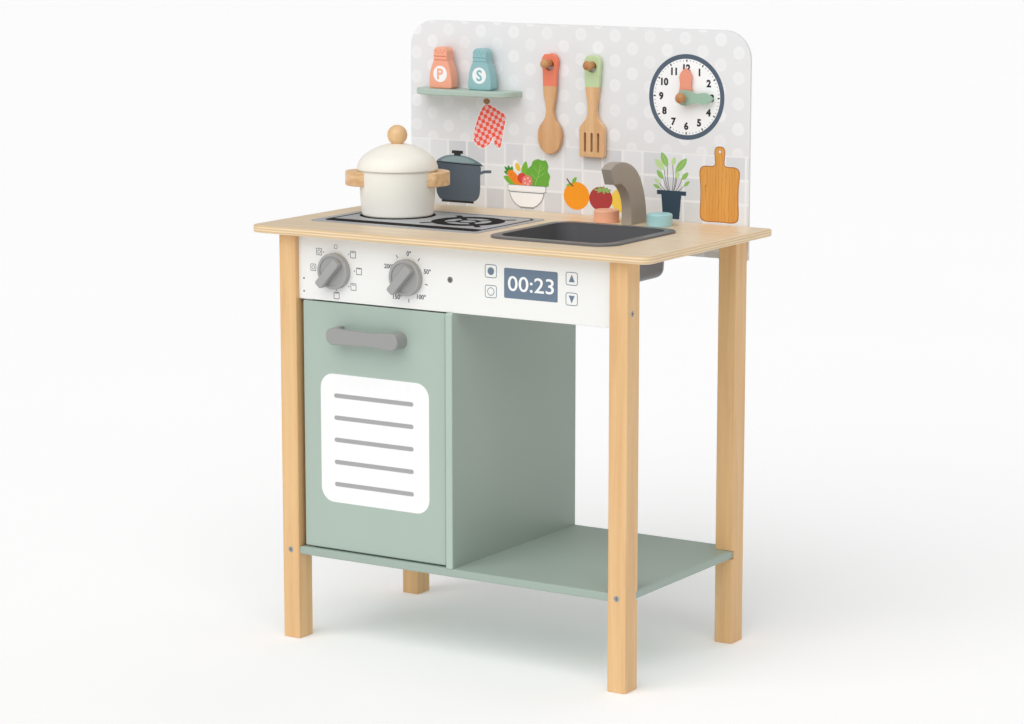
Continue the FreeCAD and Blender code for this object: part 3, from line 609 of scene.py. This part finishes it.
def printed(name, place, look, body, slot, loops=(), groups=(), words=(), level=0):
    """One printed piece on a plane.

    loops are filled one by one and groups together, with holes;
    words are (text, a, b, size) with, if wanted, bold and wide."""
    high = PROUD * (level + 1)
    outlines = [[loop] for loop in loops] + list(groups)
    meshes = [flat_mesh(group, SUNK, high + STEP * (k % STEPS)) for k, group in enumerate(outlines)]
    for text, a, b, size, *bold in words:
        mesh = text_mesh(text, size, SUNK, high, *bold)
        low_corner = [min(v.co[k] for v in mesh.vertices) for k in (0, 1)]
        high_corner = [max(v.co[k] for v in mesh.vertices) for k in (0, 1)]
        middle = [(p + q) / 2 for p, q in zip(low_corner, high_corner)]
        mesh.transform(Matrix.Translation((a - middle[0], b - middle[1], 0)))
        meshes.append(mesh)
    joined = bmesh.new()
    for mesh in meshes:
        joined.from_mesh(mesh)
        bpy.data.meshes.remove(mesh)
    bmesh.ops.remove_doubles(joined, verts=joined.verts, dist=0.0005)
    for vert in joined.verts:
        vert.co = place(*vert.co)
    bmesh.ops.recalc_face_normals(joined, faces=joined.faces)
    data = bpy.data.meshes.new(name)
    joined.to_mesh(data)
    joined.free()
    data.materials.append(look.material)
    piece = bpy.data.objects.new(name, data)
    bpy.context.scene.collection.objects.link(piece)
    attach(piece, body)
    return piece


inks = {
    "hob_black": ink("hob_black_ink", rgb(40, 38, 38), 0.8, specular=0.08),
    "slate": ink("slate_ink", shade(SLATE, 1.06)),
    "navy": ink("navy_ink", NAVY),
    "black": ink("black_ink", rgb(42, 42, 44)),
    "grey": ink("grey_ink", rgb(92, 98, 106)),
    "bar": ink("bar_ink", rgb(168, 168, 169)),
    "white": ink("white_ink", rgb(247, 247, 247)),
    "orange": ink("orange_ink", rgb(252, 160, 30)),
    "carrot": ink("carrot_ink", rgb(247, 140, 40)),
    "tomato": ink("tomato_ink", rgb(178, 64, 64)),
    "yellow": ink("yellow_ink", rgb(250, 214, 84)),
    "lemon": ink("lemon_ink", rgb(244, 200, 70)),
    "green": ink("leaf_green_ink", rgb(124, 188, 60)),
    "lime": ink("lime_ink", rgb(150, 196, 104)),
    "pale_green": ink("pale_green_ink", rgb(196, 224, 160)),
    "pink": ink("pink_ink", rgb(240, 130, 120)),
    "radish": ink("radish_ink", rgb(222, 70, 66)),
    "rim": ink("clock_rim_ink", rgb(84, 98, 114)),
    "mark": ink("mark_ink", rgb(128, 130, 134)),
    "paper": ink("paper_ink", rgb(252, 252, 252), spread=0.01),
    "paper_pink": ink("pale_pink_ink", rgb(250, 205, 196)),
    "green_dark": ink("dark_green_ink", rgb(112, 178, 64)),
    "green_deep": ink("deep_green_ink", rgb(60, 150, 52)),
    "calyx": ink("calyx_ink", rgb(150, 186, 108)),
    "carrot_dark": ink("carrot_line_ink", rgb(222, 108, 26)),
    "peg": wood("peg_print", rgb(186, 134, 84), rgb(150, 100, 56), "X", 1.0, 0.6),
    "pan_glass": ink("pan_glass_ink", rgb(146, 166, 170)),
    "brown": ink("brown_ink", rgb(96, 66, 44)),
    "stem": ink("stem_ink", rgb(116, 104, 100)),
    "vein": ink("vein_ink", rgb(160, 208, 110)),
    "outline": ink("outline_ink", rgb(150, 152, 154)),
    "coral_dark": ink("coral_dark_ink", rgb(214, 116, 88)),
    "aqua_dark": ink("aqua_dark_ink", rgb(112, 166, 170)),
    "coral": ink("coral_ink", CORAL),
    "aqua": ink("aqua_ink", rgb(128, 186, 190)),
    "pan": shaded_ink("pan_ink", rgb(92, 104, 116), rgb(68, 80, 92), -0.236, -0.17, 0),
    "pan_lid": shaded_ink("pan_lid_ink", rgb(126, 148, 154), rgb(98, 120, 128), 0.648, 0.662),
    "board": board_look(),
    "board_edge": ink("board_edge_ink", rgb(178, 110, 46)),
    "mitt": mitt_look(),
}


def door_print():
    face = facing_front(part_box("oven_door")[0].y)
    printed("door_window_print", face, inks["white"], "door", "white_paint",
            loops=[box(-216.3, -35.0, 203.7, 385.7, 21.0, 8)])
    bars = [box(-193.5, -60.8, z - 3.1, z + 3.1, 3.0) for z in (229.7, 261.2, 292.7, 324.0, 355.2)]
    printed("door_rack_print", face, inks["bar"], "door", "grey_plastic", loops=bars, level=1)


def panel_print():
    face = facing_front(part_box("control_panel")[0].y)
    args = ("kitchen", "white_paint")
    printed("display_print", face, inks["slate"], *args, loops=[box(86.0, 169.5, 514.5, 555.0, 2.2)])
    printed("display_digits", face, inks["white"], *args, level=1,
            words=[("00:23", 127.8, 534.6, 28.5, 0.008, 1.18)])
    boxes = ((55.7, 74.5, 539.5, 557.8), (55.7, 74.5, 512.5, 529.9), (181.7, 200.2, 539.0, 556.7),
             (181.7, 200.2, 512.2, 529.5))
    up = [(183.9 + 2.4, 543.4), (198.0 - 2.4, 543.4), (190.95, 553.6)]
    down = [(190.95, 515.4), (198.0 - 2.4, 525.4), (183.9 + 2.4, 525.4)]
    printed("button_prints", face, inks["slate"], *args, loops=[circle(65.1, 548.6, 5.2), up, down],
            groups=[frame_box(*b, 3.4, 1.0) for b in boxes] + [ring(65.1, 521.2, 5.6, 1.0)])
    oven_dial_print(face, args)
    heat_dial_print(face, args)


def oven_dial_print(face, args):
    """Ring of small oven-mode marks round the left dial."""
    outlines, dots = [], []
    places = ((-159.3, 554.7), (-149.6, 532.2), (-159.0, 509.9), (-187.6, 495.8), (-226.7, 532.3),
              (-216.6, 554.9))
    centre = (-189.0, 530.0)
    for k, (a, b) in enumerate(places):
        outlines.append(frame_box(a - 4.8, a + 4.8, b - 5.0, b + 5.0, 1.4, 0.9))
        if k < 4:
            dots.append(box(a - 2.9, a + 2.9, b + (3.0 if k % 2 else 2.2), b + (3.9 if k % 2 else 3.1)))
        else:
            outlines.append(ring(a, b, 2.8, 0.8))
        beside = (0.0, 7.6) if k == 3 else (7.6 if a < centre[0] else -7.6, 0.0)
        dots.append(circle(a + beside[0], b + beside[1], 0.95, 12))
    outlines.append(frame_box(-191.0, -185.6, 561.0, 566.4, 1.0, 0.7))
    printed("oven_mode_marks", face, inks["grey"], *args, loops=dots, groups=outlines)


def heat_dial_print(face, args):
    """Degree scale round the right dial."""
    centre, inner, outer = Vector((-69.5, 530.0)), 29.5, 34.5
    ticks = []
    for a, b in ((-86.0, 556.9), (-49.9, 556.3), (-38.5, 522.5), (-67.4, 500.0)):
        way = (Vector((a, b)) - centre).normalized()
        ticks.append(stroke([tuple(centre + way * inner), tuple(centre + way * outer)], 1.3))
    labels = [("0°", -66.9, 562.9, 8.6, 0.03), ("50°", -36.8, 540.4, 8.6, 0.03),
              ("100°", -46.6, 505.0, 8.6, 0.03),
              ("150°", -86.0, 502.2, 8.6, 0.03), ("200°", -99.5, 543.2, 8.6, 0.03)]
    printed("heat_scale", face, inks["grey"], *args, loops=ticks, words=labels)


def hob_print():
    """Black gas-burner drawing on the metal sheet."""
    face = facing_up(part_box("hob_plate")[1].z)
    bar = [(-253, -82), (-8, -82), (-5, -79), (-5, -57), (-263, -57), (-263, -72)]
    lines = [box(-263, -258.5, -60, 74), box(-9.5, -5, -60, 72), box(-252, -17, 81.6, 84.0),
             stroke([(-19, 83), (-7, 71)], 3.6), stroke([(-250, 83), (-261, 73)], 3.6)]
    a, b = -76.2, 10.5
    spokes = []
    for quarter in range(4):
        way = Vector((1, 1)).normalized()
        way.rotate(Matrix.Rotation(math.radians(90 * quarter), 2))
        spokes.append(stroke([(a + 15 * way.x, b + 15 * way.y), (a + 69 * way.x, b + 69 * way.y)], 8.6))
    rings = [ring(a, b, 52.0, 19.0), ring(a, b, 18.5, 7.5), ring(-202.0, 20.0, 54.5, 14.0)]
    printed("hob_burner_print", face, inks["hob_black"], "kitchen", "hob_sheet",
            loops=[bar] + lines + spokes, groups=rings)


def clock_print():
    face = facing_front(BOARD_LOW.y)
    args = ("kitchen", "printed_board")
    a0, b0 = 181.5, 763.3
    printed("clock_face_print", face, inks["paper"], *args, loops=[circle(a0, b0, 55, 96)])
    printed("clock_rim_print", face, inks["rim"], *args,
            groups=[[circle(a0, b0, 59.6, 96), circle(a0, b0, 53.0, 96)[::-1]]], level=1)
    words, big, small = [], [], []
    for minute in range(60):
        t = math.radians(6 * minute)
        if minute % 5 == 0:
            words.append((str(minute // 5 or 12), *around(a0, b0, 40.3, t), 13.4, 0.05))
            big.append(stroke([around(a0, b0, 48.9, t), around(a0, b0, 52.2, t)], 1.9))
        else:
            small.append(stroke([around(a0, b0, 49.6, t), around(a0, b0, 51.6, t)], 0.8))
    printed("clock_numbers", face, inks["black"], *args, words=words, loops=big, level=2)
    printed("clock_minute_marks", face, inks["mark"], *args, loops=small, level=2)


def plant_print():
    face = facing_front(BOARD_LOW.y)
    args = ("kitchen", "printed_board")
    dark = [((152.3, 664), (142.4, 684.5), 10), ((165.5, 658), (183, 677.5), 10.5),
            ((146, 647), (135, 659), 7.5), ((175, 647.5), (185.5, 658), 7),
            ((178.5, 638.5), (188, 646), 5), ((141, 633.5), (129.6, 638.5), 5)]
    pale = [((147.3, 660), (131.8, 674.5), 9.5), ((160.2, 667), (164.2, 679), 7),
            ((167, 648.5), (169.4, 659), 7), ((139.5, 640.6), (131.5, 646.6), 4.5)]
    stems = []
    for k, (root, tip, _) in enumerate(dark + pale):
        start = (159.0 + 0.28 * (root[0] - 159.0), 628.0)
        stems.append(stroke([start, root], 0.9, 0.10 if root[0] < 159 else -0.10))
    printed("plant_stems_print", face, inks["stem"], *args, loops=stems)
    printed("plant_dark_leaves_print", face, inks["lime"], *args, level=1,
            loops=[leaf(*one) for one in dark])
    printed("plant_pale_leaves_print", face, inks["pale_green"], *args, level=2,
            loops=[leaf(*one) for one in pale])
    ribs = [stroke([root, tuple(0.8 * t + 0.2 * r for t, r in zip(tip, root))], 0.5)
            for root, tip, _ in dark[:2]]
    printed("plant_ribs_print", face, inks["pale_green"], *args, level=3, loops=ribs)
    pot = [(142.6, 627.0), (174.8, 627.0), (171.6, 591.5), (145.6, 591.5)]
    printed("plant_pot_print", face, inks["navy"], *args, level=4,
            loops=[box(135.7, 182.3, 625.2, 631.2, 0.6), pot])


def cutting_board_print():
    face = facing_front(BOARD_LOW.y)
    args = ("kitchen", "printed_board")

    def shape(inset):
        half = [(0, 697.2 - inset), (5.6 - inset * 0.5, 696 - inset), (8.4 - inset, 691),
                (8.2 - inset, 683), (7.6 - inset, 673 - inset * 0.5), (11, 669.6 - inset),
                (24, 669.2 - inset), (30.2 - inset, 665.6 - inset),
                (31.8 - inset, 657), (30.2 - inset, 640), (30.0 - inset, 620), (30.8 - inset, 603),
                (28.5 - inset, 594.0 + inset), (20, 591.0 + inset), (8, 591.2 + inset)]
        return smooth([(235 + a, b) for a, b in half] + [(235 - a, b) for a, b in half[:0:-1]], 5)
    hole = circle(235.0, 689.7, 2.1, 16)[::-1]
    printed("cutting_board_edge_print", face, inks["board_edge"], *args, groups=[[shape(0.0), hole]])
    printed("cutting_board_print", face, inks["board"], *args, groups=[[shape(1.3), hole]], level=1)


def saucepan_print():
    face = facing_front(BOARD_LOW.y)
    args = ("kitchen", "printed_board")
    body = smooth([(-238.6, 649.8), (-236.8, 640), (-237.2, 612), (-234, 601), (-226, 595.2),
                   (-199, 594.2), (-173, 595.2), (-163.5, 601), (-160.4, 612), (-160.2, 630),
                   (-160.2, 648.5), (-180, 648.6), (-215, 649.4)], 4)
    lid = smooth([(-235.5, 651.5), (-229, 657), (-217, 661.2), (-199, 662.4), (-181, 660.4),
                  (-166, 655), (-157.4, 649.3), (-180, 648.6), (-216, 649.6)], 4)
    glass = smooth([(-228, 652.6), (-222, 656.6), (-208, 659.6), (-192, 659.6), (-176, 655.6),
                    (-170, 652.2), (-190, 651.4), (-212, 651.8)], 4)
    printed("saucepan_body_print", face, inks["pan"], *args,
            loops=[body, stroke([(-161, 637), (-153, 640), (-141, 640.8)], 4.2)])
    printed("saucepan_lid_print", face, inks["pan_lid"], *args, loops=[lid], level=1)
    printed("saucepan_glass_print", face, inks["pan_glass"], *args, loops=[glass], level=2)
    dark = [box(-209.3, -190.0, 664.2, 668.8, 0.8), box(-205.5, -194, 661.0, 665.0),
            stroke([(-236.6, 651.0), (-190, 649.2), (-155.8, 648.6)], 1.6),
            box(-227.5, -171.5, 592.3, 595.4, 0.8)]
    printed("saucepan_dark_print", face, inks["black"], *args, loops=dark, level=3)


def bowl_print():
    face = facing_front(BOARD_LOW.y)
    args = ("kitchen", "printed_board")

    def show(name, key, level, loops):
        printed(name, face, inks[key], *args, loops=loops, level=level)
    lettuce = smooth([(-76.5, 624), (-79.6, 632), (-80.4, 641), (-78, 649), (-72.7, 653.6),
                      (-69.6, 660), (-61.5, 663.6), (-54, 661.8), (-47.6, 662), (-43.5, 654),
                      (-44.6, 647), (-40.6, 640), (-42.6, 632), (-46, 624)], 4)
    show("salad_back_leaf_print", "green", 0, [leaf((-86, 634), (-81.5, 659.5), 11)])
    show("lettuce_print", "green_dark", 1, [lettuce])
    show("lettuce_vein_print", "vein", 2, [
        stroke([(-66, 626), (-60, 642), (-56, 657)], 0.9), stroke([(-62.5, 636), (-50, 644)], 0.7),
        stroke([(-63, 634), (-73, 642)], 0.7), stroke([(-59, 645), (-50, 653)], 0.6),
        stroke([(-60, 643), (-68, 652)], 0.6)])
    show("carrot_top_print", "green_deep", 3, [
        leaf((-108, 640), (-118, 650), 5), leaf((-108, 641), (-112, 652), 5),
        leaf((-109, 639), (-119, 643), 5), leaf((-107, 641), (-105, 651), 5)])
    show("salad_front_leaf_print", "green", 4, [leaf((-98, 625), (-119.5, 636), 10)])
    show("egg_white_print", "paper", 5, [circle(-97.6, 651.5, 9.6, 32, 0.56, math.radians(112))])
    show("egg_yolk_print", "lemon", 6, [circle(-95.4, 650.2, 6.4, 32, 0.62, math.radians(112))])
    carrot = smooth([(-113.5, 640), (-110.5, 644.6), (-105, 645.4), (-98, 640), (-90, 631.5),
                     (-86, 623), (-96, 623.4), (-106, 630)], 4)
    show("carrot_print", "carrot", 7, [carrot])
    show("carrot_line_print", "carrot_dark", 8, [stroke([(-108, 637), (-104.6, 640.4)], 0.7),
                                                 stroke([(-103, 632), (-99.4, 636)], 0.7)])
    show("radish_print", "radish", 9, [circle(-88.0, 634.6, 7.6)])
    show("slice_print", "pink", 10, [circle(-79.2, 630.6, 8.8)])
    show("slice_seed_print", "paper_pink", 11, [
        circle(-79.2 + 4.6 * math.sin(k), 630.8 + 4.6 * math.cos(k), 1.5, 12)
        for k in (0.3, 1.55, 2.8, 4.05, 5.3)])
    turns = [math.radians(180 + 7.5 * k) for k in range(25)]
    inside = [(-79.7 + 28.4 * math.cos(t), max(616 + 24.4 * math.sin(t), 593.4)) for t in turns]
    edge = [(-79.7 + 1.034 * (a + 79.7), 616 + 1.05 * (b - 616)) for a, b in inside]
    show("bowl_edge_print", "outline", 12, [edge, box(-112.1, -47.3, 615.2, 624.6, 1.4),
                                            box(-91, -67.5, 591.3, 593.6, 0.6)])
    show("bowl_print", "paper", 13, [inside, box(-111.4, -48.0, 616.2, 623.9, 1.0)])
    show("bowl_line_print", "mark", 14, [box(-107.6, -51.6, 613.6, 615.0)])


def fruit_print():
    face = facing_front(BOARD_LOW.y)
    args = ("kitchen", "printed_board")
    printed("yellow_fruit_print", face, inks["yellow"], *args,
            loops=[circle(79.5, 612.5, 18.6, 48, 0.95)])
    printed("tomato_print", face, inks["tomato"], *args, loops=[circle(44.2, 612.6, 19.2, 48, 0.9)],
            level=1)
    printed("orange_print", face, inks["orange"], *args, loops=[circle(3.8, 614.4, 21.4, 64, 0.93)],
            level=2)
    arms = [leaf((47.3, 625.5), around(47.3, 625.5, reach, math.radians(turn), 0.55), 3.0)
            for turn, reach in ((-95, 15), (-130, 12), (165, 11), (118, 13), (88, 15), (55, 11),
                                (10, 11), (-50, 11))]
    printed("calyx_print", face, inks["calyx"], *args, loops=arms, level=3)
    printed("orange_leaf_print", face, inks["green"], *args, level=4,
            loops=[leaf((-3.2, 632), (3.6, 641.5), 5.5), leaf((-4.5, 631), (-13.5, 628.4), 3.6)])
    printed("orange_stalk_print", face, inks["brown"], *args,
            loops=[stroke([(-1.5, 628), (-12.5, 638.6)], 1.7, 0.12)], level=5)


def mitt_print():
    face = facing_front(BOARD_LOW.y)
    args = ("kitchen", "printed_board")

    def shape(grow):
        points = [(-151.6, 737.6), (-143.5, 738.2), (-129.5, 731.5), (-116.4, 723.4), (-118.2, 708),
                  (-122.4, 688), (-124.8, 678), (-129.5, 676.2), (-134.6, 680.4), (-137.2, 691.5),
                  (-144.6, 680.6), (-154.0, 675.0), (-163.6, 677.0), (-171.0, 685.0), (-171.4, 694.7),
                  (-165.4, 714.4), (-158.4, 729.6)]
        centre = Vector((-146, 704))
        made = []
        for p in points:
            way = (Vector(p) - centre).normalized()
            made.append((p[0] + way.x * grow, p[1] + way.y * grow))
        return smooth(made, 4)
    printed("mitt_outline_print", face, inks["paper"], *args, loops=[shape(1.0)])
    printed("mitt_print", face, inks["mitt"], *args, loops=[shape(-0.2)], level=1)
    printed("mitt_peg_print", face, inks["peg"], *args, loops=[circle(-148.7, 743.0, 5.6, 24, 0.75)],
            level=2)


def shaker_print(node, body, slot, letter, dark, letter_ink):
    """White badge with an initial, two grooves and the pouring holes."""
    low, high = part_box(node)
    face = facing_front(low.y)
    mid, foot = (low.x + high.x) / 2 / MM, low.z / MM
    printed(body + "_badge", face, inks["white"], body, slot, loops=[circle(mid, foot + 21.0, 11.8)])
    printed(body + "_letter", face, inks[letter_ink], body, slot,
            words=[(letter, mid, foot + 21.0, 21.5, 0.025)], level=1)
    grooves = [box(mid - 11.2, mid + 11.2, foot + h, foot + h + 1.2) for h in (40.6, 46.0)]
    holes = [circle(mid + a, foot + b, 0.9, 12)
             for a, b in ((-7, 54.5), (-3.4, 51.6), (0.2, 55), (3.6, 51.6), (7.2, 54.5))]
    printed(body + "_grooves", face, inks[dark], body, slot, loops=grooves + holes)


door_print()
panel_print()
hob_print()
clock_print()
plant_print()
cutting_board_print()
saucepan_print()
bowl_print()
fruit_print()
mitt_print()
shaker_print("pepper_shaker", "pepper", "coral_paint", "P", "coral_dark", "coral")
shaker_print("salt_shaker", "salt", "aqua_paint", "S", "aqua_dark", "aqua")


# ---- floor, light and camera --------------------------------------------------------
def studio_floor():
    """Wide pale disc, a hair below the feet."""
    made = bmesh.new()
    bmesh.ops.create_circle(made, cap_ends=True, radius=40.0, segments=96)
    data = bpy.data.meshes.new("studio_floor")
    made.to_mesh(data)
    made.free()
    data.materials.append(floor_look().material)
    piece = bpy.data.objects.new("studio_floor", data)
    piece.location.z = cad_low.z - 0.0002
    bpy.context.scene.collection.objects.link(piece)


def sun(name, way, power, spread):
    """Even, soft light that comes from a direction."""
    data = bpy.data.lights.new(name, "SUN")
    data.energy, data.angle = power, math.radians(spread)
    lamp = bpy.data.objects.new(name, data)
    lamp.rotation_euler = Vector(way).to_track_quat("Z", "Y").to_euler()
    bpy.context.scene.collection.objects.link(lamp)


WORLD_LIGHT = 0.40


def studio_world():
    """Even light from all round, seen as white behind the object."""
    world = bpy.data.worlds.new("studio")
    world.use_nodes = True
    tree = world.node_tree
    sky = tree.nodes["Background"]
    sky.inputs["Color"].default_value = (1.0, 1.0, 1.0, 1.0)
    seen = tree.nodes.new("ShaderNodeLightPath").outputs["Is Camera Ray"]
    level = tree.nodes.new("ShaderNodeMapRange")
    tree.links.new(seen, level.inputs["Value"])
    level.inputs["To Min"].default_value = WORLD_LIGHT
    tree.links.new(level.outputs["Result"], sky.inputs["Strength"])
    bpy.context.scene.world = world


def camera():
    """Right of the front, a little above the countertop."""
    yaw, pitch = math.radians(32.206), math.radians(9.735)
    data = bpy.data.cameras.new("camera")
    data.sensor_width, data.lens = 36.0, 103.80
    data.clip_start, data.clip_end = 0.1, 200.0
    view = bpy.data.objects.new("camera", data)
    view.location = (2.1659, -3.4338, 1.0944)
    view.rotation_euler = (math.pi / 2 - pitch, 0, yaw)
    bpy.context.scene.collection.objects.link(view)
    bpy.context.scene.camera = view


studio_floor()
studio_world()
sun("key", (-0.06, -0.50, 0.50), 1.45, 60)
sun("fill", (0.50, -0.50, 0.62), 0.48, 40)
sun("rim", (0.10, 0.60, 0.45), 0.40, 60)
camera()
bpy.context.scene.view_settings.view_transform = "Standard"
